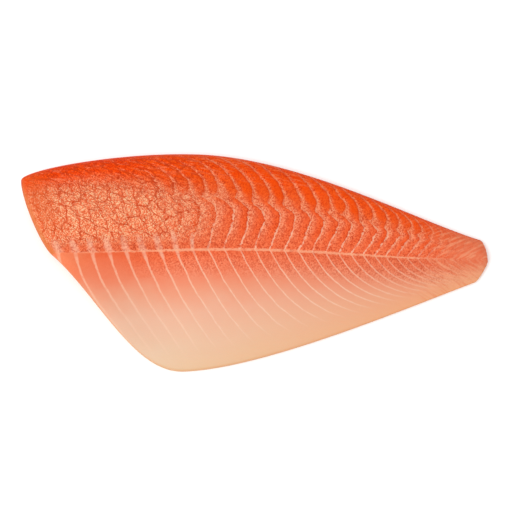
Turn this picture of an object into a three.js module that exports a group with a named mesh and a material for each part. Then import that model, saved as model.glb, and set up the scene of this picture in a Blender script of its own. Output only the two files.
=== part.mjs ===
import * as THREE from "three";

// Raw skinless fish fillet, lying on its flat inner face with the outer side up.
// Sizes in millimetres, +X to the tail end, +Y to the back, +Z up.

// Outline: the edge passes each knot at a place, with a heading in degrees, and keeps to that heading
// for a reach before and after it. The lip is the height of the edge there, and the rim is how far in
// from the edge the upper face takes to rise to its full thickness.
const OUTLINE = {
  keel: { at: [-37.8, -61.9], heading: 2.0, before: 27.0, after: 43.0, lip: 2.5, rim: 8.0 },
  tailLow: { at: [117.5, -13.1], heading: 20.5, before: 33.5, after: 2.0, lip: 2.2, rim: 5.0 },
  tailTip: { at: [125.0, -1.5], heading: 90.0, before: 2.0, after: 2.0, lip: 2.5, rim: 5.0 },
  tailTop: { at: [121.0, 10.5], heading: 162.5, before: 3.5, after: 34.0, lip: 2.5, rim: 7.0 },
  crown: { at: [-36.0, 59.5], heading: 180.0, before: 57.0, after: 40.5, lip: 3.5, rim: 14.0 },
  nape: { at: [-128.0, 41.8], heading: 271.5, before: 6.3, after: 8.5, lip: 8.0, rim: 7.0 },
  headCut: { at: [-107.7, -2.3], heading: 319.5, before: 9.5, after: 32.5, lip: 14.5, rim: 4.0 },
};

// Thickness of the flesh
const HEAD_THICKNESS = 22.5;
const TAIL_THICKNESS = 8.0;
const TAPER_POWER = 1.5;
const MIDLINE_SHARE = 0.9;
const BELLY_EDGE_SHARE = 0.28;
const BELLY_POWER = 1.6;
const LOIN_END = 0.7;
const BACK_DROP = 0.1;
const BACK_DROP_FROM = 0.5;

// Midline: a slow wave along the body
const MIDLINE_Y = -0.7;
const MIDLINE_WAVE = 1.5;
const MIDLINE_CREST_X = -2.0;
const MIDLINE_HALF_WAVE = 105.0;
const MIDLINE_PULL_POWER = 8;

// Flakes: spacing of the flake lines along the midline, closer together towards the tail
const FLAKE_PITCH = 8.94;
const FLAKE_REACH = 283.0;
const FIRST_FLAKE_X = -95.0;

// Lean of a flake line towards the tail, as a share of its height above the midline or its depth below it.
// A row for each power of the share of the back's height or the belly's depth; a row holds the lean at the
// middle of the body, its growth and its bend per 100 mm along the body.
const LEAN_UNIT = 100.0;
const BACK_LEAN = [
  [0.383, 0.805, -0.709],
  [-0.227, -1.828, 4.11],
  [-0.374, 1.52, -3.647],
];
const BELLY_LEAN = [
  [0.507, 0.202, -0.199],
  [0.299, 0.829, 1.386],
  [-0.117, -0.33, 0.0],
];

// Step of a flake line towards the head half way up the back, as a share of the back's height
const NOTCH_STEP = 0.085;
const NOTCH_FROM = 0.38;
const NOTCH_TO = 0.52;
const SHARE_LIMIT = 1.1;
const PLACE_LIMIT = 0.98;

// Relief of the upper face
const BACK_FLAKE_DEPTH = 0.9;
const BACK_FLAKES_FROM = -0.05;
const BACK_FLAKES_FULL = 0.1;
const BELLY_FLAKE_DEPTH = 0.4;
const BELLY_FLAKES_FROM = -0.85;
const BELLY_FLAKES_FULL = -0.4;
const MIDLINE_DEPTH = 1.1;
const MIDLINE_GROOVE = 2.4;
const RELIEF_FROM_EDGE = 0.5;
const RELIEF_FULL_IN = 6.0;

// Underside
const UNDER_ROUND = 1.2;
const CUT_LEAN = 0.15;
const CUT_LEAN_FROM = 3.5;

// Divisions of the upper face
const COLUMNS = 128;
const BELLY_ROWS = 14;
const BACK_ROWS = 20;
const COLUMN_GATHER = 0.35;
const BELLY_GATHER = 0.4;
const BACK_GATHER = 0.55;
const EDGE_STEPS = 400;

const FLESH_COLOUR = 0xee7f4c;

const { clamp, lerp, smoothstep, degToRad } = THREE.MathUtils;

// One arc of the outline between two knots
function arc(from, to) {
  const start = new THREE.Vector2(...from.at);
  const end = new THREE.Vector2(...to.at);
  const out = new THREE.Vector2(Math.cos(degToRad(from.heading)), Math.sin(degToRad(from.heading)));
  const into = new THREE.Vector2(Math.cos(degToRad(to.heading)), Math.sin(degToRad(to.heading)));
  return new THREE.CubicBezierCurve(
    start,
    start.clone().addScaledVector(out, from.after),
    end.clone().addScaledVector(into, -to.before),
    end,
  );
}

// Points evenly spaced along one or more joined arcs
function edgePoints(arcs, backwards) {
  const path = new THREE.CurvePath();
  arcs.forEach((piece) => {
    piece.arcLengthDivisions = EDGE_STEPS;
    path.add(piece);
  });
  const points = path.getSpacedPoints(EDGE_STEPS);
  return backwards ? points.reverse() : points;
}

// The point at a share of an edge
function pointAt(edge, share) {
  const place = clamp(share, 0, 1) * (edge.length - 1);
  const before = Math.min(Math.floor(place), edge.length - 2);
  return edge[before].clone().lerp(edge[before + 1], place - before);
}

// The height of an edge at x, for an edge that runs on in x
function heightAt(edge, x) {
  if (x <= edge[0].x) return edge[0].y;
  for (let i = 1; i < edge.length; i += 1) {
    if (edge[i].x >= x) {
      const share = (x - edge[i - 1].x) / Math.max(edge[i].x - edge[i - 1].x, 1e-9);
      return lerp(edge[i - 1].y, edge[i].y, share);
    }
  }
  return edge[edge.length - 1].y;
}

const knots = OUTLINE;
const backEdge = edgePoints([arc(knots.tailTop, knots.crown), arc(knots.crown, knots.nape)], true);
const bellyEdge = edgePoints([arc(knots.keel, knots.tailLow)], false);
const headLowEdge = edgePoints([arc(knots.headCut, knots.keel)], true);
const headHighEdge = edgePoints([arc(knots.nape, knots.headCut)], true);
const tailLowEdge = edgePoints([arc(knots.tailLow, knots.tailTip)], false);
const tailHighEdge = edgePoints([arc(knots.tailTip, knots.tailTop)], false);

function midlineY(x) {
  return MIDLINE_Y + MIDLINE_WAVE * Math.cos((Math.PI * (x - MIDLINE_CREST_X)) / MIDLINE_HALF_WAVE);
}

// The midline from the head cut to the tail tip, pulled onto the outline at both ends
function midlinePoint(along) {
  const [headX, headY] = knots.headCut.at;
  const [tailX, tailY] = knots.tailTip.at;
  const x = lerp(headX, tailX, along);
  const pull = lerp(headY - midlineY(headX), tailY - midlineY(tailX), along);
  return new THREE.Vector2(x, midlineY(x) + pull * Math.pow(2 * along - 1, MIDLINE_PULL_POWER));
}

// Ground plan of the upper face: a blend of the edges round the belly half or the back half
function planPoint(along, across) {
  const belly = across <= 0;
  const up = belly ? across + 1 : across;
  const low = (share) => (belly ? pointAt(bellyEdge, share) : midlinePoint(share));
  const high = (share) => (belly ? midlinePoint(share) : pointAt(backEdge, share));
  const left = pointAt(belly ? headLowEdge : headHighEdge, up);
  const right = pointAt(belly ? tailLowEdge : tailHighEdge, up);
  return new THREE.Vector2()
    .addScaledVector(low(along), 1 - up)
    .addScaledVector(high(along), up)
    .addScaledVector(left, 1 - along)
    .addScaledVector(right, along)
    .addScaledVector(low(0), -(1 - along) * (1 - up))
    .addScaledVector(low(1), -along * (1 - up))
    .addScaledVector(high(0), -(1 - along) * up)
    .addScaledVector(high(1), -along * up);
}

// Lip and rim sizes all round the outline, for the rounding of the upper face
const rimRing = Object.values(knots).flatMap((from, i, all) => {
  const to = all[(i + 1) % all.length];
  return edgePoints([arc(from, to)], false).slice(0, -1).map((point, step) => ({
    point,
    lip: lerp(from.lip, to.lip, step / EDGE_STEPS),
    rim: lerp(from.rim, to.rim, step / EDGE_STEPS),
  }));
});

function nearestRim(plan) {
  let best = rimRing[0];
  let least = Infinity;
  rimRing.forEach((place) => {
    const gap = place.point.distanceToSquared(plan);
    if (gap < least) {
      least = gap;
      best = place;
    }
  });
  return { lip: best.lip, rim: best.rim, inward: Math.sqrt(least) };
}

// Full thickness of the flesh, before its rims are rounded
function fullThickness(along, across) {
  const body = TAIL_THICKNESS + (HEAD_THICKNESS - TAIL_THICKNESS) * (1 - Math.pow(along, TAPER_POWER));
  const rise = Math.sin(Math.PI * clamp(across / LOIN_END, 0, 1));
  const back = MIDLINE_SHARE + (1 - MIDLINE_SHARE) * rise - BACK_DROP * smoothstep(across, BACK_DROP_FROM, 1);
  const climb = Math.pow(clamp(1 + across, 0, 1), BELLY_POWER);
  return body * (across < 0 ? lerp(BELLY_EDGE_SHARE, MIDLINE_SHARE, climb) : back);
}

// Lean of a flake line at x, at a share of the height of the back or the depth of the belly
function leanAt(rows, x, share) {
  const along = x / LEAN_UNIT;
  return rows.reduce((sum, [middle, growth, bend], power) => {
    return sum + (middle + growth * along + bend * along * along) * Math.pow(share, power);
  }, 0);
}

// How far a flake line has swung towards the tail where it passes a point
function flakeSwing(x, y) {
  const up = y - midlineY(x);
  if (up > 0) {
    const height = heightAt(backEdge, x) - midlineY(x);
    const share = clamp(up / height, 0, SHARE_LIMIT);
    const notch = NOTCH_STEP * smoothstep(share, NOTCH_FROM, NOTCH_TO);
    return up * leanAt(BACK_LEAN, x, share) - height * notch;
  }
  const depth = midlineY(x) - heightAt(bellyEdge, x);
  return -up * leanAt(BELLY_LEAN, x, clamp(-up / depth, 0, SHARE_LIMIT));
}

// Count of flake lines from the head end up to a point
function flakeCount(x, y) {
  const place = (x - flakeSwing(x, y) - FIRST_FLAKE_X) / FLAKE_REACH;
  return (FLAKE_REACH / FLAKE_PITCH) * Math.atanh(clamp(place, -PLACE_LIMIT, PLACE_LIMIT));
}

// Depth of the flake grooves and the midline groove at a point of the upper face
function relief(x, y, across, inward) {
  const groove = Math.pow(0.5 + 0.5 * Math.cos(2 * Math.PI * flakeCount(x, y)), 2);
  const bellyDepth = BELLY_FLAKE_DEPTH * smoothstep(across, BELLY_FLAKES_FROM, BELLY_FLAKES_FULL);
  const onBack = smoothstep(across, BACK_FLAKES_FROM, BACK_FLAKES_FULL);
  const depth = lerp(bellyDepth, BACK_FLAKE_DEPTH, onBack);
  const gap = (y - midlineY(x)) / MIDLINE_GROOVE;
  const seam = MIDLINE_DEPTH * Math.exp(-gap * gap);
  return (depth * groove + seam) * smoothstep(inward, RELIEF_FROM_EDGE, RELIEF_FULL_IN);
}

// Shares from 0 to 1, drawn together towards both ends
const gathered = (step, count, pull) => {
  const share = step / count;
  return share - (pull * Math.sin(2 * Math.PI * share)) / (2 * Math.PI);
};

const alongShares = Array.from({ length: COLUMNS + 1 }, (_, i) => gathered(i, COLUMNS, COLUMN_GATHER));
const acrossShares = [
  ...Array.from({ length: BELLY_ROWS }, (_, j) => gathered(j, BELLY_ROWS, BELLY_GATHER) - 1),
  ...Array.from({ length: BACK_ROWS + 1 }, (_, j) => gathered(j, BACK_ROWS, BACK_GATHER)),
];
const ROWS = acrossShares.length - 1;

const positions = [];
const faces = [];
const addPoint = (x, y, z) => positions.push(x, y, z) / 3 - 1;
const addQuad = (a, b, c, d) => faces.push(a, b, c, a, c, d);

// Upper face
const upper = alongShares.map((along, i) =>
  acrossShares.map((across, j) => {
    const plan = planPoint(along, across);
    const nearest = nearestRim(plan);
    const { lip, rim } = nearest;
    const onEdge = i === 0 || i === COLUMNS || j === 0 || j === ROWS;
    const inward = onEdge ? 0 : nearest.inward;
    const turn = 1 - clamp(inward / rim, 0, 1);
    const full = Math.max(fullThickness(along, across), lip);
    const height = lip + (full - lip) * Math.sqrt(1 - turn * turn);
    return addPoint(plan.x, plan.y, height - relief(plan.x, plan.y, across, inward));
  }),
);
for (let i = 0; i < COLUMNS; i += 1) {
  for (let j = 0; j < ROWS; j += 1) {
    addQuad(upper[i][j], upper[i + 1][j], upper[i + 1][j + 1], upper[i][j + 1]);
  }
}

// Edge all round, from the belly to the tail, the back and the head cut
const edgeLoop = [
  ...upper.slice(0, -1).map((column) => column[0]),
  ...upper[COLUMNS].slice(0, -1),
  ...upper.slice(1).reverse().map((column) => column[ROWS]),
  ...upper[0].slice(1).reverse(),
];
const edgePlan = edgeLoop.map((id) => new THREE.Vector3().fromArray(positions, 3 * id));
const inwards = edgePlan.map((point, i) => {
  const ahead = edgePlan[(i + 1) % edgePlan.length];
  const behind = edgePlan[(i + edgePlan.length - 1) % edgePlan.length];
  return new THREE.Vector2(behind.y - ahead.y, ahead.x - behind.x).normalize();
});

// One ring of the side wall, set in from the edge as it rounds under to the flat underside
function wallRing(turn) {
  return edgePlan.map((point, i) => {
    const lean = CUT_LEAN * Math.max(point.z - CUT_LEAN_FROM, 0);
    const inset = lean + UNDER_ROUND * (1 - Math.cos(turn));
    const z = UNDER_ROUND * (1 - Math.sin(turn));
    return addPoint(point.x + inwards[i].x * inset, point.y + inwards[i].y * inset, z);
  });
}
const rings = [edgeLoop, wallRing(0), wallRing(Math.PI / 4), wallRing(Math.PI / 2)];
for (let k = 0; k + 1 < rings.length; k += 1) {
  for (let i = 0; i < edgeLoop.length; i += 1) {
    const next = (i + 1) % edgeLoop.length;
    addQuad(rings[k][i], rings[k + 1][i], rings[k + 1][next], rings[k][next]);
  }
}

// Flat underside
const underRing = rings[rings.length - 1];
const underShape = underRing.map((id) => new THREE.Vector2().fromArray(positions, 3 * id));
THREE.ShapeUtils.triangulateShape(underShape, []).forEach(([a, b, c]) => {
  faces.push(underRing[a], underRing[c], underRing[b]);
});

const geometry = new THREE.BufferGeometry();
geometry.setAttribute("position", new THREE.Float32BufferAttribute(positions, 3));
geometry.setIndex(faces);
geometry.computeBoundingBox();
const { min, max } = geometry.boundingBox;
geometry.translate(-(min.x + max.x) / 2, -(min.y + max.y) / 2, -min.z);
geometry.computeVertexNormals();

const flesh = new THREE.MeshStandardMaterial({ color: FLESH_COLOUR, roughness: 0.42, metalness: 0.0 });
const fillet = new THREE.Mesh(geometry, flesh);
fillet.name = "fillet";

const group = new THREE.Group();
group.name = "fish_fillet";
group.add(fillet);

export default group;
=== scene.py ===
"""Raw skinless fish fillet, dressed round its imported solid, on a pale floor in soft light.

Lengths are in millimetres until the points go into the mesh. +X runs to the tail and +Y to the back edge.
A place across the fillet is a share: -1 at the belly edge, 0 on the midline and 1 at the back edge.
"""
from collections import namedtuple
import bpy
import numpy as np
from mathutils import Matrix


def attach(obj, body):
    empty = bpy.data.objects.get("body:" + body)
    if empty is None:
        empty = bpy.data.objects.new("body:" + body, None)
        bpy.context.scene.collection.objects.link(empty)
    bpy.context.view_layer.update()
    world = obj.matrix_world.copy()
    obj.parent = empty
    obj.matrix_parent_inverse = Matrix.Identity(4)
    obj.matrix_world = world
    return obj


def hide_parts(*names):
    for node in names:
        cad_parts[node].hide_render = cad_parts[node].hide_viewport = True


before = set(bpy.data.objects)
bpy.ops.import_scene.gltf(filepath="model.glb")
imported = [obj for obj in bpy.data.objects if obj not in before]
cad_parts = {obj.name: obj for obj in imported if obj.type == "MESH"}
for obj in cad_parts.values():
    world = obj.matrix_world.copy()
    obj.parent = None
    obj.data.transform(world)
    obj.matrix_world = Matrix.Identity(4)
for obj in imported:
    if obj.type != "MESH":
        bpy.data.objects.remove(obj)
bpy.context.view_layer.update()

MM = 0.001

# Knot of the outline: place, heading in degrees, how long the edge keeps to that heading before and after
# the place, height of the edge there, and how far in the upper face takes to reach full thickness
Knot = namedtuple("Knot", "x y heading before after lip rim")
OUTLINE = {
    "keel": Knot(-37.8, -61.9, 2.0, 27.0, 43.0, 2.5, 8.0),
    "tail_low": Knot(117.5, -13.1, 20.5, 33.5, 2.0, 2.2, 5.0),
    "tail_tip": Knot(125.0, -1.5, 90.0, 2.0, 2.0, 2.5, 5.0),
    "tail_top": Knot(121.0, 10.5, 162.5, 3.5, 34.0, 2.5, 7.0),
    "crown": Knot(-36.0, 59.5, 180.0, 57.0, 40.5, 3.5, 14.0),
    "nape": Knot(-128.0, 41.8, 271.5, 6.3, 8.5, 8.0, 7.0),
    "head_cut": Knot(-107.7, -2.3, 319.5, 9.5, 32.5, 14.5, 4.0),
}
ARC_STEPS = 300
RING_STEPS = 200
RING_BATCHES = 120

# Thickness at both ends of the body, and the share of it at the belly edge, on the midline and up the back
HEAD_THICKNESS = 22.5
TAIL_THICKNESS = 8.0
TAPER_POWER = 1.5
BELLY_SHARE = 0.28
BELLY_POWER = 1.6
MIDLINE_SHARE = 0.9
LOIN_RISE = 0.1
LOIN_END = 0.7
BACK_FALL = 0.1

# Side wall: radius under its foot, lean inwards for each millimetre that the edge stands above a height,
# and share of its rows that go straight down. The underside starts a step inside the wall, and its finish
# is that of a set depth below the edge. Flake lines lean tailwards down the wall.
UNDER_ROUND = 1.2
CUT_LEAN = 0.15
CUT_LEAN_FROM = 3.5
WALL_STRAIGHT = 0.6
UNDER_STEP = 0.25
UNDER_DEPTH = 12.0
WALL_FLAKE_LEAN = 0.8

# Midline: a slow wave in plan
MIDLINE_Y = -0.7
MIDLINE_WAVE = 1.5
MIDLINE_CREST_X = -2.0
MIDLINE_HALF_WAVE = 105.0
MIDLINE_PULL = 8

# Flake lines: spacing at the first one, reach over which they close up, place of the first one, and the
# largest share of the reach that counts
FLAKE_PITCH = 8.94
FLAKE_REACH = 283.0
FIRST_FLAKE_X = -95.0
PLACE_LIMIT = 0.98

# Lean of a flake line towards the tail, as a share of its height above the midline or its depth below it.
# A row for each power of the share of the back's height or the belly's depth; a row holds the lean at the
# middle of the body, its growth and its bend per 100 mm along the body. On the back a line also steps aside
# by a share of the height, between two shares of it. Cracks of the membrane lean to the head instead.
BACK_LEAN = ((0.383, 0.805, -0.709), (-0.227, -1.828, 4.11), (-0.374, 1.52, -3.647))
BELLY_LEAN = ((0.507, 0.202, -0.199), (0.299, 0.829, 1.386), (-0.117, -0.33, 0.0))
NOTCH_STEP = 0.085
NOTCH_FROM = 0.38
NOTCH_TO = 0.52
CRACK_LEAN = 0.3

# Two rows of lobes on the back: middle of each row and its reach below and above, as shares of the height.
# Then the height of a lobe, the share of its run that is left at the ends of its oval, and its random draws,
# with a slot for each flake line and some before the first.
LOBE_ROWS = ((0.28, 0.70, 0.23), (0.68, 0.20, 0.46))
LOBE_HEIGHT = 0.6
LOBE_NECK = 0.5
LOBE_SEED = 5
LOBE_SLOTS = 120
SLOTS_BEFORE = 30

# Low relief of every flake, the groove along the midline, and the lattice of the uneven ground
FLAKE_SWELL = 0.14
GROOVE_DEPTH = 0.85
GROOVE_WIDTH = 2.0
LATTICE = 512
LATTICE_MIDDLE = 200.0

# Cells of the surface, and how much they draw together towards the edges
COLUMNS = 400
BELLY_ROWS = 76
BACK_ROWS = 88
WALL_ROWS = 9
COLUMN_PULL = 0.35
BELLY_PULL = 0.4
BACK_PULL = 0.55

# Flat sheet: corner and width of the upper face and of the underside, and both ends of the wall's strip
UPPER_CORNER = (0.01, 0.52)
UPPER_WIDTH = 0.98
UNDER_CORNER = (0.71, 0.01)
UNDER_WIDTH = 0.7
WALL_STRIP = (0.49, 0.38)


def ease(value, low, high):
    """0 below low, 1 above high, and a smooth S between them."""
    share = np.clip((value - low) / (high - low), 0.0, 1.0)
    return share * share * (3.0 - 2.0 * share)


def pebbles(x, y, size, seed):
    """Smooth uneven ground from -1 to 1: random heights on a square lattice, eased between its corners."""
    heights = np.random.default_rng(seed).uniform(-1.0, 1.0, (LATTICE, LATTICE))
    u = x / size + LATTICE_MIDDLE
    v = y / size + LATTICE_MIDDLE
    column = np.floor(u).astype(int)
    row = np.floor(v).astype(int)
    a = ease(u - column, 0.0, 1.0)
    b = ease(v - row, 0.0, 1.0)
    here = column % LATTICE
    next_column = (column + 1) % LATTICE
    low = row % LATTICE
    next_row = (row + 1) % LATTICE
    near = heights[here, low] * (1 - a) + heights[next_column, low] * a
    far = heights[here, next_row] * (1 - a) + heights[next_column, next_row] * a
    return near * (1 - b) + far * b


def direction(knot):
    """Unit vector along the outline at a knot."""
    turn = np.radians(knot.heading)
    return np.array([np.cos(turn), np.sin(turn)])


def arc(start, end):
    """Cubic arc from one knot to the next, tangent to both headings."""
    first = OUTLINE[start]
    last = OUTLINE[end]
    a = np.array([first.x, first.y])
    d = np.array([last.x, last.y])
    b = a + first.after * direction(first)
    c = d - last.before * direction(last)
    t = np.linspace(0.0, 1.0, ARC_STEPS)[:, None]
    return (1 - t) ** 3 * a + 3 * t * (1 - t) ** 2 * b + 3 * t * t * (1 - t) * c + t ** 3 * d


def run_along(path):
    """Length of a path up to each of its points, as a share of the whole."""
    run = np.concatenate([[0.0], np.cumsum(np.hypot(*np.diff(path, axis=0).T))])
    return run / run[-1]


def at_shares(path, shares):
    """Points of a path at shares of its length."""
    run = run_along(path)
    return np.stack([np.interp(shares, run, path[:, 0]), np.interp(shares, run, path[:, 1])], -1)


BACK_EDGE = np.vstack([arc("tail_top", "crown"), arc("crown", "nape")[1:]])[::-1]
BELLY_EDGE = arc("keel", "tail_low")
HEAD_LOW = arc("head_cut", "keel")[::-1]
HEAD_HIGH = arc("nape", "head_cut")[::-1]
TAIL_LOW = arc("tail_low", "tail_tip")
TAIL_HIGH = arc("tail_tip", "tail_top")


def midline_y(x):
    """Height in plan of the pale midline: a cosine wave along the body."""
    return MIDLINE_Y + MIDLINE_WAVE * np.cos(np.pi * (x - MIDLINE_CREST_X) / MIDLINE_HALF_WAVE)


def midline(shares):
    """Midline from the head cut to the tail tip, pulled onto the outline at both ends by a steep power."""
    head = OUTLINE["head_cut"]
    tail = OUTLINE["tail_tip"]
    x = head.x + (tail.x - head.x) * shares
    miss = (1 - shares) * (head.y - midline_y(head.x)) + shares * (tail.y - midline_y(tail.x))
    return np.stack([x, midline_y(x) + miss * (2 * shares - 1) ** MIDLINE_PULL], -1)


def gathered(count, pull):
    """Shares from 0 to 1 that draw together towards both ends: even ones less a sine wave."""
    share = np.linspace(0.0, 1.0, count + 1)
    return share - pull * np.sin(2 * np.pi * share) / (2 * np.pi)


def patch(low, high, left, right, along, up):
    """Surface inside four edges: low and high blended upwards, plus left and right blended along, less the
    four corners blended both ways."""
    s = along[:, None, None]
    w = up[None, :, None]
    corners = (1 - s) * ((1 - w) * low[0] + w * high[0]) + s * ((1 - w) * low[-1] + w * high[-1])
    return (1 - w) * low[:, None] + w * high[:, None] + (1 - s) * left[None] + s * right[None] - corners


def ground_plan(along, belly_up, back_up):
    """Plan of the upper face: the belly half below the midline and the back half above, joined along it."""
    middle = midline(along)
    belly = patch(at_shares(BELLY_EDGE, along), middle, at_shares(HEAD_LOW, belly_up),
                  at_shares(TAIL_LOW, belly_up), along, belly_up)
    back = patch(middle, at_shares(BACK_EDGE, along), at_shares(HEAD_HIGH, back_up),
                 at_shares(TAIL_HIGH, back_up), along, back_up)
    return np.concatenate([belly[:, :-1], back], axis=1)


def rim_ring():
    """Outline all round with the lip height and rim width at each point, changing evenly between knots."""
    names = list(OUTLINE)
    share = np.linspace(0.0, 1.0, RING_STEPS, endpoint=False)
    points = []
    sizes = []
    for here, there in zip(names, names[1:] + names[:1]):
        points.append(at_shares(arc(here, there), share))
        near = np.outer(1 - share, [OUTLINE[here].lip, OUTLINE[here].rim])
        far = np.outer(share, [OUTLINE[there].lip, OUTLINE[there].rim])
        sizes.append(near + far)
    return np.vstack(points), np.vstack(sizes)


def rim_at(plan):
    """Distance in from the outline, and the lip and rim sizes at its nearest point, for a whole plan.

    The distance is to the nearer of the two chords at the outline's nearest point. Points go in batches, so
    that the table of distances stays small.
    """
    ring, sizes = rim_ring()
    ahead = np.roll(ring, -1, axis=0)
    flat = plan.reshape(-1, 2)
    inward = np.empty(len(flat))
    nearest = np.empty(len(flat), int)
    for batch in np.array_split(np.arange(len(flat)), RING_BATCHES):
        gap = ((flat[batch, None, :] - ring[None]) ** 2).sum(-1)
        nearest[batch] = gap.argmin(1)
        best = np.full(len(batch), np.inf)
        for side in (-1, 0):
            chord = (nearest[batch] + side) % len(ring)
            start = ring[chord]
            span = ahead[chord] - start
            reach = ((flat[batch] - start) * span).sum(-1) / (span * span).sum(-1)
            foot = start + np.clip(reach, 0.0, 1.0)[:, None] * span
            best = np.minimum(best, np.hypot(*(flat[batch] - foot).T))
        inward[batch] = best
    shape = plan.shape[:2]
    inward = inward.reshape(shape)
    inward[[0, -1], :] = 0.0
    inward[:, [0, -1]] = 0.0
    return inward, sizes[nearest, 0].reshape(shape), sizes[nearest, 1].reshape(shape)


def full_thickness(along, across):
    """Thickness before the rims: a taper to the tail, times a rise to the loin and a fall to the belly."""
    body = TAIL_THICKNESS + (HEAD_THICKNESS - TAIL_THICKNESS) * (1 - along ** TAPER_POWER)
    loin = LOIN_RISE * np.sin(np.pi * np.clip(across / LOIN_END, 0.0, 1.0))
    back = MIDLINE_SHARE + loin - BACK_FALL * ease(across, 0.5, 1.0)
    belly = BELLY_SHARE + (MIDLINE_SHARE - BELLY_SHARE) * np.clip(1 + across, 0.0, 1.0) ** BELLY_POWER
    return body * np.where(across < 0, belly, back)


def side_heights(x):
    """Height of the back above the midline and depth of the belly below it, at each x."""
    back = np.interp(x, BACK_EDGE[:, 0], BACK_EDGE[:, 1]) - midline_y(x)
    belly = midline_y(x) - np.interp(x, BELLY_EDGE[:, 0], BELLY_EDGE[:, 1])
    return back, belly


def lean_at(rows, x, share):
    """Lean of a flake line at x: a square law in the share of the back's height or the belly's depth, whose
    three numbers follow square laws along the body."""
    along = x / 100.0
    level, slope, bend = [row[0] + row[1] * along + row[2] * along ** 2 for row in rows]
    return level + slope * share + bend * share ** 2


def flake_swing(x, y):
    """How far a flake line has swung tailwards: its lean times its rise, less a step part way up."""
    back, belly = side_heights(x)
    rise = y - midline_y(x)
    up = np.clip(rise / back, 0.0, 1.1)
    down = np.clip(-rise / belly, 0.0, 1.1)
    above = rise * lean_at(BACK_LEAN, x, up) - back * NOTCH_STEP * ease(up, NOTCH_FROM, NOTCH_TO)
    return np.where(rise > 0, above, -rise * lean_at(BELLY_LEAN, x, down))


def lines_before(x):
    """Number of flake lines up to a place on the midline: the inverse hyperbolic tangent of its distance
    from the first line, which draws the lines together towards the tail."""
    place = np.clip((x - FIRST_FLAKE_X) / FLAKE_REACH, -PLACE_LIMIT, PLACE_LIMIT)
    return FLAKE_REACH / FLAKE_PITCH * np.arctanh(place)


def flake_count(x, y):
    """Number of flake lines from the head end to a point; whole numbers are the lines themselves."""
    return lines_before(x - flake_swing(x, y))


def crack_count(x, y):
    """Flake count with lines that lean back to the head as they rise, as the cracks of the membrane do."""
    head = ease(-x, 5.0, 60.0)
    swing = (1.0 - head) * flake_swing(x, y) - CRACK_LEAN * head * np.maximum(y - midline_y(x), 0.0)
    return lines_before(x - swing)


def flake_gap(x, y):
    """Distance from one flake line to the next, across the lines: one over the slope of the count."""
    step = 0.05
    slope_x = (flake_count(x + step, y) - flake_count(x - step, y)) / (2 * step)
    slope_y = (flake_count(x, y + step) - flake_count(x, y - step)) / (2 * step)
    return 1.0 / np.maximum(np.hypot(slope_x, slope_y), 0.05)


def uneven_count(x, y):
    """Flake count with the small wander of real lines, more above the midline than below it."""
    amount = 0.3 + 0.7 * ease(y - midline_y(x), -1.0, 6.0)
    return flake_count(x, y) + amount * (0.09 * pebbles(x, y, 5.5, 31) + 0.05 * pebbles(x, y, 2.1, 32))


def membrane_zone(x, across):
    """1 where the thin crackled membrane still lies on the shoulder, fading tailwards and at the rims; its
    upper edge comes down towards the tail."""
    upper_edge = ease(across + 0.16 * ease(x, -105.0, -35.0), 0.56, 0.87)
    return ease(across, 0.03, 0.24) * (1.0 - upper_edge) * (1.0 - ease(x, -65.0, -8.0))


def lobes_at(x, y, count):
    """Lobes of the back, one between two flake lines in each row.

    Gives the oval that shuts a lobe below and above, 1 in its middle and 0 where the next row starts, and
    the lobe's own random fullness, which fades on the shoulder, at the midline and towards the tail.
    """
    draw = np.random.default_rng(LOBE_SEED)
    up = (y - midline_y(x)) / side_heights(x)[0]
    slot = np.clip(np.floor(count) + SLOTS_BEFORE, 0, LOBE_SLOTS - 1).astype(int)
    oval = np.where(up < 0, 1.0, 0.0)
    fullness = np.zeros_like(x)
    for middle, reach_below, reach_above in LOBE_ROWS:
        own = draw.uniform(0.5, 1.0, LOBE_SLOTS)[slot]
        above = up - middle - draw.uniform(-0.05, 0.05, LOBE_SLOTS)[slot]
        reach = np.where(above < 0, reach_below, reach_above)
        row = np.sqrt(np.clip(1 - (above / reach) ** 2, 0.0, 1.0))
        fullness = np.where((row > oval) & (up > 0), own, fullness)
        oval = np.maximum(oval, row)
    past_shoulder = ease(x + 40.0 * (0.7 - up), -90.0, -50.0)
    before_tail = 1 - 0.6 * ease(x, 75.0, 115.0)
    return oval, fullness * past_shoulder * before_tail * ease(up, 0.0, 0.25)


def lobe_swell(count, oval):
    """Height of a lobe along its run, 0 to 1: it swells tailwards and drops at its rounded end."""
    run = np.clip((count - np.floor(count)) / (LOBE_NECK + (1 - LOBE_NECK) * oval), 0.0, 1.0)
    return ease(run, 0.1, 0.75) * (1 - ease(run, 0.86, 1.0)) * oval


def upper_relief(x, y, across, inward, count, bulge):
    """Height added to the upper face: the lobes, a low swell of every flake, a bell-shaped groove along the
    midline and uneven ground, rougher on the membrane; nothing at the edge."""
    phase = count - np.floor(count)
    swell = 1 - (2 * phase - 1) ** 4
    low = FLAKE_SWELL * (swell - 0.8) * ease(across, -0.85, -0.4)
    bell = np.exp(-((y - midline_y(x)) / GROOVE_WIDTH) ** 2)
    groove = -GROOVE_DEPTH * bell * (1 - 0.7 * ease(x, 80.0, 115.0))
    crackle = membrane_zone(x, across) * (0.02 * pebbles(x, y, 3.0, 11) + 0.01 * pebbles(x, y, 1.5, 12))
    uneven = 0.08 * pebbles(x, y, 10.0, 23) + 0.03 * pebbles(x, y, 3.5, 24)
    return (LOBE_HEIGHT * bulge + low + groove + crackle + uneven) * ease(inward, 0.2, 5.0)


def corners_of(grid):
    """Four corners of every cell of a grid, turned to face up when the grid runs right and up."""
    return np.stack([grid[:-1, :-1], grid[1:, :-1], grid[1:, 1:], grid[:-1, 1:]], 2)


def quads_of(ids):
    """Quads between neighbours of a grid of point numbers."""
    return corners_of(ids).reshape(-1, 4)


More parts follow.
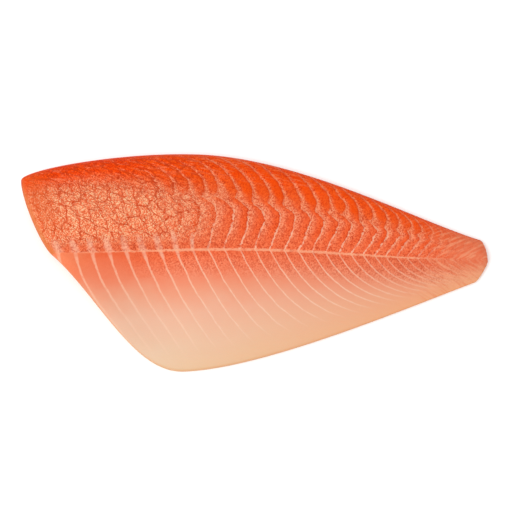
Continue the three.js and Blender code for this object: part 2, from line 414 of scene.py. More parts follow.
def loop_of(grid):
    """Border of a grid in order: low edge, right edge, high edge back, left edge back."""
    return np.concatenate([grid[:-1, 0], grid[-1, :-1], grid[:0:-1, -1], grid[0, :0:-1]])


def numbered(first, like):
    """Point numbers from a first one on, in the shape of a grid."""
    return first + np.arange(like.size).reshape(like.shape)


def joined(*grids):
    """Grids as one flat row of numbers."""
    return np.concatenate([np.ravel(grid) for grid in grids])


def upper_face():
    """Upper face as a grid from the head to the tail and from the belly edge to the back edge.

    Its height is the lip of the edge, plus a quarter ellipse over the rim up to full thickness, plus the
    relief. Gives the place, the share across, the distance in, the flake count and the lobes.
    """
    along = gathered(COLUMNS, COLUMN_PULL)
    belly_up = gathered(BELLY_ROWS, BELLY_PULL)
    back_up = gathered(BACK_ROWS, BACK_PULL)
    plan = ground_plan(along, belly_up, back_up)
    x = plan[..., 0]
    y = plan[..., 1]
    share, across = np.meshgrid(along, np.concatenate([belly_up[:-1] - 1, back_up]), indexing="ij")
    inward, lip, rim = rim_at(plan)
    full = np.maximum(full_thickness(share, across), lip)
    turn = 1 - np.clip(inward / rim, 0.0, 1.0)
    count = uneven_count(x, y)
    oval, fullness = lobes_at(x, y, count)
    bulge = fullness * lobe_swell(count, oval)
    z = lip + (full - lip) * np.sqrt(1 - turn * turn)
    z = z + upper_relief(x, y, across, inward, count, bulge)
    return x, y, z, across, inward, count, oval, fullness


def side_wall(edge):
    """Rows of the side wall under the edge, and the direction in from the edge.

    The wall goes straight down, leaning in where the edge is tall, and ends in a quarter circle under it.
    """
    tangent = np.roll(edge[:, :2], -1, axis=0) - np.roll(edge[:, :2], 1, axis=0)
    tangent = tangent / np.hypot(tangent[:, 0], tangent[:, 1])[:, None]
    inner = np.stack([-tangent[:, 1], tangent[:, 0]], -1)
    top = edge[None, :, 2]
    lean = CUT_LEAN * np.maximum(top - CUT_LEAN_FROM, 0.0)
    drop = np.linspace(0.0, 1.0, WALL_ROWS + 1)[1:, None]
    straight = np.clip(drop / WALL_STRAIGHT, 0.0, 1.0)
    bend = np.clip((drop - WALL_STRAIGHT) / (1 - WALL_STRAIGHT), 0.0, 1.0) * np.pi / 2
    inset = lean * straight + UNDER_ROUND * (1 - np.cos(bend))
    x = edge[None, :, 0] + inner[None, :, 0] * inset
    y = edge[None, :, 1] + inner[None, :, 1] * inset
    z = np.where(bend > 0, UNDER_ROUND * (1 - np.sin(bend)), top + (UNDER_ROUND - top) * straight)
    return x, y, z, inner


def underside(ring):
    """Patch inside a ring, with one edge point for every two of the ring's, and its share across."""
    rows = BELLY_ROWS + BACK_ROWS
    closed = np.vstack([ring, ring[:1]])
    low = closed[0:COLUMNS + 1:2]
    right = closed[COLUMNS:COLUMNS + rows + 1:2]
    high = closed[COLUMNS + rows:2 * COLUMNS + rows + 1:2][::-1]
    left = closed[2 * COLUMNS + rows:2 * COLUMNS + 2 * rows + 1:2][::-1]
    up = np.linspace(0.0, 1.0, len(left))
    plan = patch(low, high, left, right, np.linspace(0.0, 1.0, len(low)), up)
    return plan[..., 0], plan[..., 1], np.broadcast_to(2 * up - 1, plan.shape[:2])


def joining_faces(ring, inside):
    """Triangles between a ring of points and an inner ring that has one point for every two of them."""
    ring = np.append(ring, ring[0])
    inside = np.append(inside, inside[0])
    between = ring[1::2]
    return np.vstack([
        np.stack([ring[0:-1:2], inside[:-1], between], -1),
        np.stack([between, inside[:-1], inside[1:]], -1),
        np.stack([between, inside[1:], ring[2::2]], -1),
    ])


def flat_sheet(x, y, edge, upper_quads, under_quads, triangles):
    """Place of every face corner on a flat square: the upper face at the top, the wall as a strip below it,
    and the underside mirrored and smaller at the bottom."""
    plan = np.stack([x - x.min(), y - y.min()], -1) / np.ptp(x)
    upper = np.array(UPPER_CORNER) + UPPER_WIDTH * plan
    under = np.array(UNDER_CORNER) + np.array([-UNDER_WIDTH, UNDER_WIDTH]) * plan
    strip_u = UPPER_CORNER[0] + UPPER_WIDTH * run_along(np.vstack([edge[:, :2], edge[:1, :2]]))
    strip_v = np.linspace(*WALL_STRIP, WALL_ROWS + 1)
    strip = np.stack(np.broadcast_arrays(strip_u[None], strip_v[:, None]), -1)
    parts = (upper[upper_quads], corners_of(strip), under[under_quads], under[triangles])
    return np.concatenate([part.reshape(-1, 2) for part in parts])


def fillet_surface():
    """Whole skin of the fillet: points, quads, triangles, the values its finish reads, its flat sheet."""
    x, y, z, across, inward, count, oval, fullness = upper_face()
    edge = loop_of(np.stack([x, y, z, across], -1))
    wall_x, wall_y, wall_z, inner = side_wall(edge)
    wall_across = np.broadcast_to(edge[None, :, 3], wall_x.shape)
    under_x, under_y, under_across = underside(np.stack([wall_x[-1], wall_y[-1]], -1) + inner * UNDER_STEP)

    upper_ids = numbered(0, x)
    wall_ids = numbered(x.size, wall_x)
    under_ids = numbered(x.size + wall_x.size, under_x)
    rings = np.vstack([loop_of(upper_ids)[None], wall_ids])
    upper_quads = quads_of(upper_ids)
    wall_quads = quads_of(np.hstack([rings, rings[:, :1]]))
    under_quads = quads_of(under_ids)[:, ::-1]
    triangles = joining_faces(wall_ids[-1], loop_of(under_ids))

    px = joined(x, wall_x, under_x)
    py = joined(y, wall_y, under_y)
    pz = joined(z, wall_z, np.zeros(under_x.size))
    shares = joined(across, wall_across, under_across)
    plain = np.zeros(wall_x.size + under_x.size)
    below = joined(np.zeros(x.size), edge[None, :, 2] - wall_z, np.full(under_x.size, UNDER_DEPTH))
    slanted = px + WALL_FLAKE_LEAN * below
    values = {
        "body_x": px,
        "across": shares,
        "inward": joined(inward, plain) - below,
        "seam": py - midline_y(px),
        "flake": joined(count, flake_count(slanted, py)[x.size:]),
        "flake_gap": flake_gap(slanted, py),
        "crack": crack_count(px, py),
        "membrane": membrane_zone(px, shares) * (below <= 0.5),
        "lobe_oval": joined(oval, 1 + plain),
        "lobe_fullness": joined(fullness, plain),
    }
    middle_x = (px.min() + px.max()) / 2
    middle_y = (py.min() + py.max()) / 2
    points = np.stack([px - middle_x, py - middle_y, pz], -1) * MM
    sheet = flat_sheet(px, py, edge, upper_quads, under_quads, triangles)
    return points, np.vstack([upper_quads, wall_quads, under_quads]), triangles, values, sheet


def placed(name, data):
    """New object in the scene."""
    made = bpy.data.objects.new(name, data)
    bpy.context.collection.objects.link(made)
    return made


def fillet_piece(finish):
    """Mesh object of the fillet, with its values as point attributes and smooth faces."""
    points, quads, triangles, values, sheet = fillet_surface()
    mesh = bpy.data.meshes.new("fillet_flesh")
    mesh.from_pydata(points.tolist(), [], quads.tolist() + triangles.tolist())
    mesh.polygons.foreach_set("use_smooth", np.ones(len(mesh.polygons), bool))
    for name, numbers in values.items():
        layer = mesh.attributes.new(name, "FLOAT", "POINT")
        layer.data.foreach_set("value", numbers.astype(np.float32))
    mesh.uv_layers.new(name="OFBake").data.foreach_set("uv", sheet.astype(np.float32).ravel())
    mesh.update()
    mesh.validate()
    mesh.materials.append(finish)
    return placed("fillet_flesh", mesh)


# Light on the upper face and the sheen that it adds, so that a colour comes out on screen as it is written
LIGHT = 1.265
SHEEN = 0.006


def screen(red, green, blue):
    """Screen colour of 0 to 255 as a shader's linear colour, less the sheen and the light's strength."""
    share = np.array([red, green, blue]) / 255.0
    linear = np.where(share <= 0.04045, share / 12.92, ((share + 0.055) / 1.055) ** 2.4)
    return (*(np.maximum(linear - SHEEN, 0.0) / LIGHT).tolist(), 1.0)


class Finish:
    """Short ways to place nodes in one material; a value may be a number, a colour or a node's output."""

    def __init__(self, name):
        self.material = bpy.data.materials.new(name)
        self.material.use_nodes = True
        self.tree = self.material.node_tree
        self.shader = self.tree.nodes["Principled BSDF"]

    def node(self, kind, **settings):
        """New node with its settings."""
        made = self.tree.nodes.new(kind)
        for key, value in settings.items():
            setattr(made, key, value)
        return made

    def feed(self, socket, value):
        """Link a node's output to a socket, or set the socket to a plain value."""
        if isinstance(value, bpy.types.NodeSocket):
            self.tree.links.new(value, socket)
        else:
            socket.default_value = value

    def fed(self, made, *values):
        """First output of a node whose inputs take the values in order."""
        for socket, value in zip(made.inputs, values):
            self.feed(socket, value)
        return made.outputs[0]

    def wired(self, made, sockets):
        """Node whose inputs take values by name."""
        for name, value in sockets.items():
            self.feed(made.inputs[name], value)
        return made

    def value(self, name):
        """One of the mesh's own values."""
        return self.node("ShaderNodeAttribute", attribute_name=name).outputs["Fac"]

    def math(self, operation, *values):
        """Result of one operation."""
        return self.fed(self.node("ShaderNodeMath", operation=operation), *values)

    def scaled(self, value, factor, base):
        """Value times a factor, plus a base."""
        return self.math("MULTIPLY_ADD", value, factor, base)

    def times(self, *factors):
        """Product of all factors."""
        product = factors[0]
        for factor in factors[1:]:
            product = self.math("MULTIPLY", product, factor)
        return product

    def centred(self, noise):
        """Noise of 0 to 1 as a swing about zero."""
        return self.math("SUBTRACT", noise, 0.5)

    def fade(self, value, low, high, start=0.0, end=1.0):
        """Smooth S from start, where the value is low, to end, where it is high."""
        made = self.node("ShaderNodeMapRange", interpolation_type="SMOOTHSTEP")
        return self.fed(made, value, low, high, start, end)

    def mix(self, share, first, second, way="MIX"):
        """First colour with a share of the second laid over it."""
        made = self.node("ShaderNodeMix", data_type="RGBA", blend_type=way)
        self.feed(made.inputs[0], share)
        self.feed(made.inputs[6], first)
        self.feed(made.inputs[7], second)
        return made.outputs[2]

    def ramp(self, value, stops):
        """Colour between stops at places from 0 to 1."""
        made = self.node("ShaderNodeValToRGB")
        band = made.color_ramp
        while len(band.elements) < len(stops):
            band.elements.new(0.5)
        for element, (place, colour) in zip(band.elements, stops):
            element.position = place
            element.color = colour
        return self.fed(made, value)

    def place(self, turn=0.0, stretch=1.0):
        """Place on the object, with a pattern turned about the vertical and stretched along its own x."""
        made = self.node("ShaderNodeMapping", vector_type="TEXTURE")
        return self.wired(made, {
            "Vector": self.node("ShaderNodeTexCoord").outputs["Object"],
            "Rotation": (0.0, 0.0, np.radians(turn)),
            "Scale": (stretch, 1.0, 1.0),
        }).outputs[0]

    def join(self, first, second):
        """Place in a plane from two values in millimetres."""
        return self.fed(self.node("ShaderNodeCombineXYZ"), self.times(first, MM), self.times(second, MM))

    def noise(self, place, size, detail=2.0, rough=0.55):
        """Soft noise of 0 to 1 with features of a size in millimetres."""
        sockets = {"Vector": place, "Scale": 1.0 / (size * MM), "Detail": detail, "Roughness": rough}
        return self.wired(self.node("ShaderNodeTexNoise"), sockets).outputs["Fac"]

    def cells(self, place, size, feature, result, sides="3D", uneven=1.0):
        """Cells round random points, a size in millimetres apart."""
        made = self.node("ShaderNodeTexVoronoi", feature=feature, voronoi_dimensions=sides)
        sockets = {"Vector": place, "Scale": 1.0 / (size * MM), "Randomness": uneven}
        return self.wired(made, sockets).outputs[result]

    def tones(self, place, size):
        """One random tone for every cell."""
        return self.cells(place, size, "F1", "Color")

    def borders(self, place, size, uneven=1.0):
        """Distance to the border of the cell on a flat sheet, in cells."""
        return self.cells(place, size, "DISTANCE_TO_EDGE", "Distance", "2D", uneven)


# Colours of the flesh, as they look on screen
STRIP_ORANGE = screen(242, 108, 68)
HEAD_PEACH = screen(246, 140, 98)
FLANK_PINK = screen(242, 131, 96)
FLANK_PEACH = screen(240, 160, 128)
BELLY_PEACH = screen(239, 185, 157)
BELLY_CREAM = screen(235, 197, 167)
BELLY_TAN = screen(231, 196, 158)
TAIL_STRIP = screen(232, 112, 76)
TAIL_PINK = screen(232, 127, 92)
TAIL_PEACH = screen(236, 156, 119)
TAIL_TAN = screen(240, 167, 124)
TAIL_END = screen(234, 130, 94)
SHOULDER_LOW = screen(237, 110, 70)
SHOULDER_PEACH = screen(240, 128, 88)
SHOULDER_ORANGE = screen(241, 106, 62)
SHOULDER_RED = screen(246, 78, 28)
BACK_RED = screen(243, 66, 14)
LOIN_PINK = screen(240, 108, 68)
LOIN_ORANGE = screen(241, 104, 57)
LOIN_DEEP = screen(246, 90, 36)
BACK_DEEP = screen(241, 82, 22)
WALL_PINK = screen(240, 116, 72)
# Lobe colours paint light and shade: deep orange is partly painted shade, the dark rim is painted shade
# (also the dark tail strokes), and pale peach is painted light (also the pale back-edge streaks)
LOBE_DEEP_AND_SHADE = screen(245, 82, 24)
LOBE_SHADE_AND_STROKE = screen(222, 68, 22)
LIT_HALO_AND_STREAK_PEACH = screen(248, 152, 112)
MEMBRANE_RED = screen(236, 100, 58)
MEMBRANE_ORANGE = screen(249, 126, 82)
MEMBRANE_PEACH = screen(254, 156, 112)
# Membrane cream is partly painted glints; the furrow red and crease brown are painted shade in its grooves
MEMBRANE_CREAM_AND_GLINT = screen(255, 212, 164)
FURROW_SHADE_RED = screen(226, 80, 42)
CREASE_SHADE_BROWN = screen(196, 60, 25)
LINE_ORANGE = screen(250, 172, 132)
LINE_PINK = screen(250, 194, 164)
LINE_CREAM = screen(248, 206, 178)
SEAM_CREAM = screen(250, 176, 138)
EDGE_TAN = screen(236, 158, 98)
HEAD_ORANGE = screen(234, 100, 46)
HEAD_TAN = screen(226, 126, 66)
RIM_RED = screen(238, 72, 4)
# Thin dark edge colour: painted shade where the back edge curves under
EDGE_PAINTED_SHADE = screen(160, 44, 8)

# Tones that a colour is multiplied by
HEAD_DIM = (0.93, 0.96, 0.96, 1.0)
GRAIN_SHADE = (0.70, 0.50, 0.46, 1.0)
GRAIN_PLAIN = (1.0, 1.0, 1.0, 1.0)
GRAIN_GLOW = (1.10, 1.50, 1.70, 1.0)

# Size of a grain of flesh and of a spot of membrane; plates of the membrane to a flake, and their height
GRAIN_SIZE = 0.56
SPOT_SIZE = 0.42
PLATES_PER_FLAKE = 1.35
PLATE_HEIGHT = 9.0

# Flake rings on the head cut: half height and half width of an oval, and how many rings lie inside it
RING_HEIGHT = 6.0
RING_WIDTH = 16.0
RINGS = 1.6


class Flesh(Finish):
    """Moist raw flesh: colour from the back to the belly, pale flake lines, deep lobes, a crackled shoulder.

    In the fades, x is the place along the body, seam the height above the midline and inward the distance in
    from the edge, less than zero down the wall, all in millimetres; share is the place across.
    """

    def __init__(self, name):
        super().__init__(name)
        self.x = self.value("body_x")
        self.share = self.value("across")
        self.inward = self.value("inward")
        self.seam = self.value("seam")
        self.gap = self.value("flake_gap")
        self.crack = self.value("crack")
        self.membrane = self.value("membrane")
        self.oval = self.value("lobe_oval")
        self.fullness = self.value("lobe_fullness")
        self.flat = self.place()
        self.grain = self.noise(self.flat, 1.5)
        self.broken = self.noise(self.flat, 3.0)
        self.patches = self.noise(self.flat, 5.0)
        self.drift = self.noise(self.flat, 14.0, 3.0)
        self.tone = self.tones(self.flat, GRAIN_SIZE)
        self.shown = self.fade(self.broken, 0.32, 0.5, 0.35, 1.0)
        self.upper = self.fade(self.seam, -0.3, 0.3)
        phase = self.math("FRACT", self.value("flake"))
        reach = self.scaled(self.oval, 1 - LOBE_NECK, LOBE_NECK)
        self.run = self.math("DIVIDE", phase, reach)
        left = self.math("SUBTRACT", phase, reach)
        nearest = self.math("MINIMUM", self.math("ABSOLUTE", left), self.math("ADD", left, 1.0))
        self.distance = self.times(nearest, self.gap)

    def along(self, *ends):
        """Fade along the body."""
        return self.fade(self.x, *ends)

    def across(self, *ends):
        """Fade across the body."""
        return self.fade(self.share, *ends)

    def inside(self, *ends):
        """Fade in from the edge."""
        return self.fade(self.inward, *ends)

    def either_side(self, below, above):
        """One value below the midline and another above it."""
        return self.fade(self.upper, 0.0, 1.0, below, above)

    def past_shoulder(self, shoulder, loin):
        """One value on the shoulder and another on the loin."""
        return self.along(-50.0, -20.0, shoulder, loin)

    def belly_colour(self):
        """Belly side by share of its depth: orange at the midline, then pink, peach, cream and tan."""
        down = self.math("SUBTRACT", self.times(self.centred(self.drift), 0.14), self.share)
        head = self.ramp(down, [
            (0.05, STRIP_ORANGE), (0.185, FLANK_PINK), (0.325, FLANK_PEACH),
            (0.5, BELLY_PEACH), (0.74, BELLY_CREAM), (1.0, BELLY_TAN),
        ])
        tail = self.ramp(down, [
            (0.12, TAIL_STRIP), (0.325, TAIL_PINK), (0.62, TAIL_PEACH), (0.93, TAIL_TAN),
        ])
        colour = self.mix(self.scaled(self.x, 1 / 150.0, 50 / 150.0), head, tail)
        high = self.times(self.along(-78.0, -105.0), self.fade(down, 0.3, 0.05))
        colour = self.mix(self.times(high, 0.8), colour, HEAD_PEACH)
        dim = self.times(self.along(-35.0, -75.0), self.along(-106.0, -90.0))
        return self.mix(dim, colour, HEAD_DIM, "MULTIPLY")

    def back_colour(self):
        """Back side by share of its height: peach or orange, red at the edge, and pink down the wall."""
        up = self.scaled(self.centred(self.drift), 0.16, self.share)
        shoulder = self.ramp(up, [
            (0.06, SHOULDER_LOW), (0.3, SHOULDER_PEACH), (0.5, SHOULDER_PEACH),
            (0.67, SHOULDER_ORANGE), (0.81, SHOULDER_RED), (0.95, BACK_RED),
        ])
        loin = self.ramp(up, [
            (0.1, LOIN_PINK), (0.4, LOIN_PINK), (0.56, LOIN_ORANGE), (0.76, LOIN_DEEP), (0.96, BACK_DEEP),
        ])
        colour = self.mix(self.along(-62.0, -15.0), shoulder, loin)
        return self.mix(self.inside(1.0, -4.0, 0.0, 0.7), colour, WALL_PINK)

    def painted_light_halo(self, high):
        """Share of the pale speckle behind each flake line, painted light on the lit side of each flake, and
        between the two rows of lobes.
        """
        loin = self.times(self.upper, self.along(-80.0, -40.0), self.along(122.0, 90.0))
        speckled = self.fade(self.tone, 0.3, 0.7, 0.35, 1.0)
        behind = self.fade(self.run, self.fade(high, 0.0, 1.0, 0.55, 0.3), 0.05)
        behind = self.math("MAXIMUM", behind, self.fade(self.run, 1.0, 1.1))
        behind = self.times(behind, self.across(0.05, 0.2), self.across(0.95, 0.7, 0.2, 1.0))
        between = self.times(self.fade(self.oval, 0.5, 0.1), self.across(0.9, 0.7), 0.4)
        return self.times(self.math("MAXIMUM", behind, between), loin, speckled, 0.6)

    def with_lobes(self, colour):
        """Pale painted light behind each flake line, deep orange over each lobe's swell that also paints
        shade where it falls away, and a dark rim of painted shade at its end.
        Keeps the share of deep orange for the grains."""
        high = self.across(0.48, 0.62)
        # Pale halo behind each flake line: painted light on the flake's lit side, speckled
        colour = self.mix(self.painted_light_halo(high), colour, LIT_HALO_AND_STREAK_PEACH)
        rise_from = self.fade(high, 0.0, 1.0, 0.3, 0.1)
        rise_to = self.fade(high, 0.0, 1.0, 0.8, 0.45)
        # Deep orange over the swell: the lobe's own deep tone with painted shade where it falls away to the
        # next line
        self.deep = self.times(
            self.fade(self.run, rise_from, rise_to),
            self.fade(self.run, 1.04, 0.97),
            self.fade(self.oval, 0.15, 0.45),
            self.fade(high, 0.0, 1.0, 0.65, 1.0),
            self.fullness,
        )
        colour = self.mix(self.deep, colour, LOBE_DEEP_AND_SHADE)
        # Dark rim at each lobe's end: painted shade on its drop
        rim = self.times(self.fade(self.run, 0.82, 0.96), self.fade(self.run, 1.04, 1.0), self.fullness)
        return self.mix(self.times(rim, 0.65), colour, LOBE_SHADE_AND_STROKE)

    def with_streaks(self, colour):
        """Red and peach streaks that run with the back edge."""
        streaks = self.noise(self.place(-14.0, 7.0), 1.1, 2.0, 0.6)
        edge = self.times(self.across(0.6, 0.85), self.along(60.0, 0.0, 0.4, 1.0))
        colour = self.mix(self.times(edge, self.fade(streaks, 0.52, 0.6, 0.0, 0.7)), colour, BACK_RED)
        return self.mix(self.times(edge, self.fade(streaks, 0.46, 0.38, 0.0, 0.25)), colour, LIT_HALO_AND_STREAK_PEACH)

    def grain_tones(self, tone):
        """Shade, plain or glow for a grain's tone."""
        return self.ramp(tone, [(0.2, GRAIN_SHADE), (0.5, GRAIN_PLAIN), (0.85, GRAIN_GLOW)])

    def with_grains(self, colour):
        """Fine grains of flesh, each with its own tone: strong on the back and just under the midline, faint
        on deep lobes, none on the belly."""
        below = self.times(self.fade(self.seam, -17.0, -6.0), self.along(-75.0, -45.0, 0.1, 0.8))
        above = self.along(70.0, 112.0, 1.0, 0.6)
        face = self.inside(0.5, 3.0, 0.4, 1.0)
        wall = self.inside(0.5, -2.0, 0.0, 0.8)
        amount = self.times(
            self.either_side(below, above),
            self.math("MAXIMUM", face, wall),
            self.fade(self.patches, 0.3, 0.6, 0.6, 1.0),
            self.fade(self.deep, 0.2, 1.0, 1.0, 0.45),
        )
        return self.mix(amount, colour, self.grain_tones(self.tone), "MULTIPLY")

    def plate_columns(self):
        """Count of the membrane's columns of plates, which lean as its cracks do and wander a little."""
        wander = self.times(self.centred(self.patches), 0.7)
        wander = self.scaled(self.centred(self.grain), 0.08, wander)
        return self.scaled(self.crack, PLATES_PER_FLAKE, wander)

    def furrows(self, column):
        """Soft broken furrows between the columns of plates, where shade is painted."""
        beside = self.times(self.math("PINGPONG", column, 0.5), self.gap, 1 / PLATES_PER_FLAKE)
        furrows = self.times(self.fade(beside, 0.75, 0.2), self.fade(self.broken, 0.57, 0.43, 0.15, 1.0))
        return self.times(furrows, self.across(0.12, 0.3), 0.65)

    def plate_borders(self, column):
        """Thin borders of the plates: cells on a sheet of columns and sloping rows."""
        row = self.scaled(self.seam, 1 / PLATE_HEIGHT, self.times(column, 0.5))
        border = self.fade(self.borders(self.join(column, row), 1.0, 0.8), 0.065, 0.02)
        return self.times(border, self.fade(self.broken, 0.4, 0.5, 0.45, 1.0))

    def threads(self):
        """Finer broken threads inside the plates."""
        thread = self.fade(self.borders(self.flat, 2.3), 0.125, 0.04)
        return self.times(thread, self.fade(self.grain, 0.45, 0.6, 0.1, 0.7))

    def hair_cracks(self):
        """Long slanting hair cracks that go on up to the back edge."""
        return self.times(
            self.fade(self.borders(self.place(-27.0, 3.0), 3.2), 0.13, 0.05),
            self.fade(self.patches, 0.42, 0.54, 0.15, 1.0),
            self.across(0.25, 0.6, 0.3, 1.0),
            self.across(0.97, 0.88),
            self.along(-5.0, -45.0, 0.0, 0.8),
            self.upper,
        )

    def with_membrane(self, colour):
        """Membrane on the shoulder: fine orange, peach and cream spots, the cream partly painted glints,
        rough grains round it, and red furrows and brown creases darkened as painted shade. Keeps the creases
        for the relief."""
        spots = self.tones(self.flat, SPOT_SIZE)
        tone = self.scaled(self.centred(self.patches), 0.15, spots)
        tint = self.ramp(tone, [
            (0.2, MEMBRANE_RED), (0.4, MEMBRANE_ORANGE), (0.56, MEMBRANE_PEACH), (0.78, MEMBRANE_CREAM_AND_GLINT),
        ])
        colour = self.mix(self.times(self.membrane, 0.85), colour, tint)
        rough = self.times(self.upper, self.along(25.0, -35.0, 0.0, 0.6), self.inside(0.5, 3.0))
        rough = self.times(rough, self.fade(self.membrane, 0.3, 0.9, 1.0, 0.3))
        colour = self.mix(rough, colour, self.grain_tones(spots), "MULTIPLY")
        crackled = self.fade(self.membrane, 0.1, 0.6)
        column = self.plate_columns()
        # Furrows darkened with painted shade
        colour = self.mix(self.times(self.furrows(column), crackled), colour, FURROW_SHADE_RED)
        crackle = self.times(self.math("MAXIMUM", self.threads(), self.plate_borders(column)), crackled)
        self.creases = self.math("MAXIMUM", crackle, self.hair_cracks())
        # Creases darkened with painted shade
        return self.mix(self.times(self.creases, 0.8), colour, CREASE_SHADE_BROWN)

    def line_width(self):
        """Half width of a flake line: wide at the midline near the head, thin towards the tail."""
        near = self.times(self.fade(self.seam, -7.0, -1.0), self.along(-20.0, -45.0))
        below = self.math("ADD", self.along(-80.0, -5.0, 0.8, 0.5), self.times(near, 0.7))
        wedge = self.across(0.34, 0.04, 0.3, 2.7)
        return self.either_side(below, self.past_shoulder(wedge, 0.5))

    def belly_line_share(self):
        """Strength of the lines on the belly side: they fade above the belly edge and towards both ends."""
        faint = self.across(-0.8, -0.1, 0.25, 0.8)
        return self.times(
            self.across(-0.84, -0.6),
            self.across(-0.6, -0.1, 0.85, 0.9),
            self.along(30.0, 112.0, 1.0, 0.25),
            self.fade(self.shown, 0.35, 1.0, 0.6, 1.0),
            self.fade(self.along(-20.0, -75.0), 0.0, 1.0, 1.0, faint),
        )

    def back_line_share(self):
        """Strength of the lines on the back: they break up, stop under the membrane and fade tailwards."""
        soft = self.times(self.across(0.4, 0.06), self.fade(self.tone, 0.2, 0.7, 0.45, 0.8))
        bare = self.scaled(self.share, -60.0, self.x)
        return self.times(
            self.across(0.55, 0.4, 0.5, 1.0),
            self.along(60.0, 108.0, 1.0, 0.2),
            self.fade(self.membrane, 0.8, 0.3),
            self.past_shoulder(soft, 1.0),
            self.fade(bare, -115.0, -75.0, self.across(0.4, 0.15), 1.0),
            self.shown,
        )

    def with_lines(self, colour):
        """Pale flake lines: cream at the belly, pink under the midline and orange on the back."""
        cracked = self.times(self.math("PINGPONG", self.crack, 0.5), self.gap)
        distance = self.either_side(self.distance, self.past_shoulder(cracked, self.distance))
        uneven = self.times(self.centred(self.grain), self.either_side(0.6, 2.2))
        width = self.line_width()
        line = self.fade(self.math("ADD", distance, uneven), width, self.times(width, 0.25))
        tint = self.ramp(self.math("ADD", self.share, 0.5), [
            (0.0, LINE_CREAM), (0.5, LINE_PINK), (0.75, LINE_PINK), (1.0, LINE_ORANGE),
        ])
        share = self.either_side(self.belly_line_share(), self.back_line_share())
        return self.mix(self.times(line, share, 0.75), colour, tint)

    def with_midline(self, colour):
        """Pale uneven midline, strongest in the middle of the body."""
        jog = self.times(self.centred(self.grain), 1.2)
        off = self.math("ABSOLUTE", self.math("ADD", self.seam, jog))
        half = self.times(self.along(-75.0, -35.0, 0.55, 1.0), self.along(35.0, 70.0, 1.0, 0.65))
        line = self.times(
            self.fade(off, half, self.times(half, 0.3)),
            self.along(112.0, 80.0),
            self.along(-100.0, -88.0),
            self.along(-84.0, -40.0, 0.5, 1.0),
            self.fade(self.shown, 0.35, 1.0, 0.35, 0.7),
        )
        return self.mix(line, colour, SEAM_CREAM)

    def with_tail(self, colour):
        """Duller tail end, with fine pale and dark strokes that fan out from the midline."""
        tail = self.ramp(self.times(self.share, -1.0), [(0.0, TAIL_END), (0.8, TAIL_TAN)])
        colour = self.mix(self.along(88.0, 118.0, 0.0, 0.7), colour, tail)
        slant = self.scaled(self.math("ABSOLUTE", self.seam), -1.8, self.x)
        strokes = self.noise(self.join(self.times(slant, 0.5), self.times(self.seam, 0.3)), 1.5)
        far = self.times(self.along(70.0, 105.0), self.across(0.85, 0.6, 0.15, 1.0))
        colour = self.mix(self.times(far, self.fade(strokes, 0.52, 0.62, 0.0, 0.4)), colour, LINE_ORANGE)
        return self.mix(self.times(far, self.fade(strokes, 0.46, 0.38, 0.0, 0.25)), colour, LOBE_SHADE_AND_STROKE)

    def with_belly_rim(self, colour):
        """Thin tan rim along the belly."""
        rim = self.times(self.inside(0.9, 0.0), self.across(0.3, -0.2), 0.35)
        return self.mix(rim, colour, EDGE_TAN)

    def with_head_end(self, colour):
        """Head end: an orange strip, a tan rim, and a cut face with the soft oval rings of cut flakes."""
        head = self.scaled(self.seam, 0.45, self.x)
        strip = self.times(self.fade(head, -88.0, -104.0, 0.0, 0.4), self.fade(self.seam, 5.0, 16.0))
        colour = self.mix(strip, colour, HEAD_ORANGE)
        end = self.fade(head, -101.0, -106.0)
        face = self.times(end, self.inside(0.0, -1.5))
        rim = self.times(end, self.inside(3.5, 0.5, 0.0, 0.75), self.upper)
        colour = self.mix(self.times(rim, self.fade(face, 0.0, 1.0, 1.0, 0.45)), colour, HEAD_TAN)
        depth = self.times(self.inward, 1 / RING_HEIGHT)
        sideways = self.times(self.seam, 1 / RING_WIDTH)
        ring = self.math("SQRT", self.math("ADD", self.times(depth, depth), self.times(sideways, sideways)))
        ring = self.scaled(self.centred(self.patches), 0.5, self.times(ring, RINGS))
        arcs = self.fade(self.math("PINGPONG", ring, 0.5), 0.13, 0.04, 0.0, 0.5)
        return self.mix(self.times(face, self.upper, arcs), colour, LINE_ORANGE)

    def with_back_rim(self, colour):
        """Red rim along the back with a thin darker edge of painted shade where it curves under, both broken
        up.
        """
        back = self.times(self.across(0.75, 0.95), self.inside(-1.0, 0.6))
        back = self.times(back, self.fade(self.patches, 0.35, 0.6, 0.5, 1.0))
        colour = self.mix(self.times(back, self.inside(5.0, 1.5, 0.0, 0.5)), colour, RIM_RED)
        # Painted shade along the very edge of the back
        return self.mix(self.times(back, self.inside(1.5, 0.9, 0.0, 0.3)), colour, EDGE_PAINTED_SHADE)

    def relief(self):
        """Fine relief: shallow flake lines, grainy back, creased membrane."""
        ground = self.times(self.fade(self.distance, 0.9, 0.0), self.upper, -0.25)
        ground = self.scaled(self.times(self.upper, self.tone), 0.12, ground)
        ground = self.scaled(self.creases, -0.2, ground)
        ground = self.scaled(self.grain, 0.06, ground)
        sockets = {"Height": ground, "Strength": 0.4, "Distance": 0.5 * MM}
        return self.wired(self.node("ShaderNodeBump"), sockets).outputs[0]


def raw_flesh():
    """The fillet's finish, built up from its base colour to its rims."""
    f = Flesh("raw_flesh")
    colour = f.mix(f.upper, f.belly_colour(), f.back_colour())
    layers = (f.with_lobes, f.with_streaks, f.with_grains, f.with_membrane, f.with_lines, f.with_midline,
              f.with_tail, f.with_belly_rim, f.with_head_end, f.with_back_rim)
    for laid_over in layers:
        colour = laid_over(colour)
    f.wired(f.shader, {
        "Base Color": colour,
        "Roughness": f.scaled(f.grain, 0.3, 0.4),
        "Normal": f.relief(),
        "Specular IOR Level": 0.03,
        "Subsurface Weight": 0.04,
        "Subsurface Radius": (1.0, 0.35, 0.2),
        "Subsurface Scale": 0.5 * MM,
    })
    return f.material


# Floor and studio, in metres
FLOOR_REACH = 6.0
FLOOR_Z = -0.0001
ROOM_STRENGTH = 0.93
CAMERA_TILT = 72.0
CAMERA_AWAY = 0.649
CAMERA_AIM = (0.0015, 0.0015, 0.006)


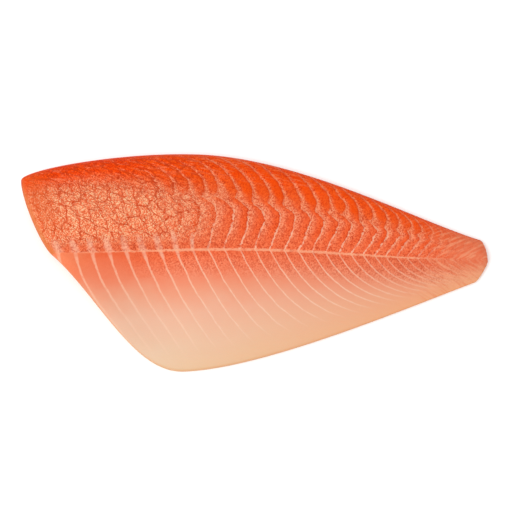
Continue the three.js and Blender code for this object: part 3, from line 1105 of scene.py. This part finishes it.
def floor_finish():
    """Plain near-white paper for the floor."""
    f = Finish("pale_floor")
    f.wired(f.shader, {"Base Color": (0.96, 0.96, 0.96, 1.0), "Roughness": 0.9, "Specular IOR Level": 0.1})
    return f.material


def pale_floor():
    """Square floor, far larger than the view, just under the fillet."""
    mesh = bpy.data.meshes.new("pale_floor")
    signs = ((-1, -1), (1, -1), (1, 1), (-1, 1))
    corners = [(a * FLOOR_REACH, b * FLOOR_REACH, FLOOR_Z) for a, b in signs]
    mesh.from_pydata(corners, [], [(0, 1, 2, 3)])
    mesh.materials.append(floor_finish())
    floor = placed("pale_floor", mesh)


def soft_box(name, place, width, height, watts):
    """Large soft light that faces the fillet."""
    lamp = bpy.data.lights.new(name, "AREA")
    lamp.shape = "RECTANGLE"
    lamp.size = width
    lamp.size_y = height
    lamp.energy = watts
    holder = placed(name, lamp)
    holder.location = place
    aim = -np.array(place) / np.linalg.norm(place)
    level = np.hypot(aim[0], aim[1])
    holder.rotation_euler = (np.arctan2(level, -aim[2]), 0.0, np.arctan2(aim[1], aim[0]) - np.pi / 2)


def pale_room():
    """Even white light from all round."""
    world = bpy.data.worlds.new("pale_room")
    world.use_nodes = True
    background = world.node_tree.nodes["Background"]
    background.inputs["Color"].default_value = (1.0, 1.0, 1.0, 1.0)
    background.inputs["Strength"].default_value = ROOM_STRENGTH
    bpy.context.scene.world = world


def camera():
    """Long lens that looks steeply down from the belly side."""
    lens = bpy.data.cameras.new("view")
    lens.lens = 85.0
    lens.clip_start = 0.01
    tilt = np.radians(CAMERA_TILT)
    x, y, z = CAMERA_AIM
    eye = placed("view", lens)
    eye.location = (x, y - CAMERA_AWAY * np.cos(tilt), z + CAMERA_AWAY * np.sin(tilt))
    eye.rotation_euler = (np.pi / 2 - tilt, 0.0, 0.0)
    bpy.context.scene.camera = eye


fillet = fillet_piece(raw_flesh())
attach(fillet, "root")
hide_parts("fillet")
pale_floor()
pale_room()
soft_box("front_left_light", place=(-0.45, -0.35, 1.0), width=0.8, height=0.6, watts=6.5)
camera()
bpy.context.scene.view_settings.view_transform = "Standard"
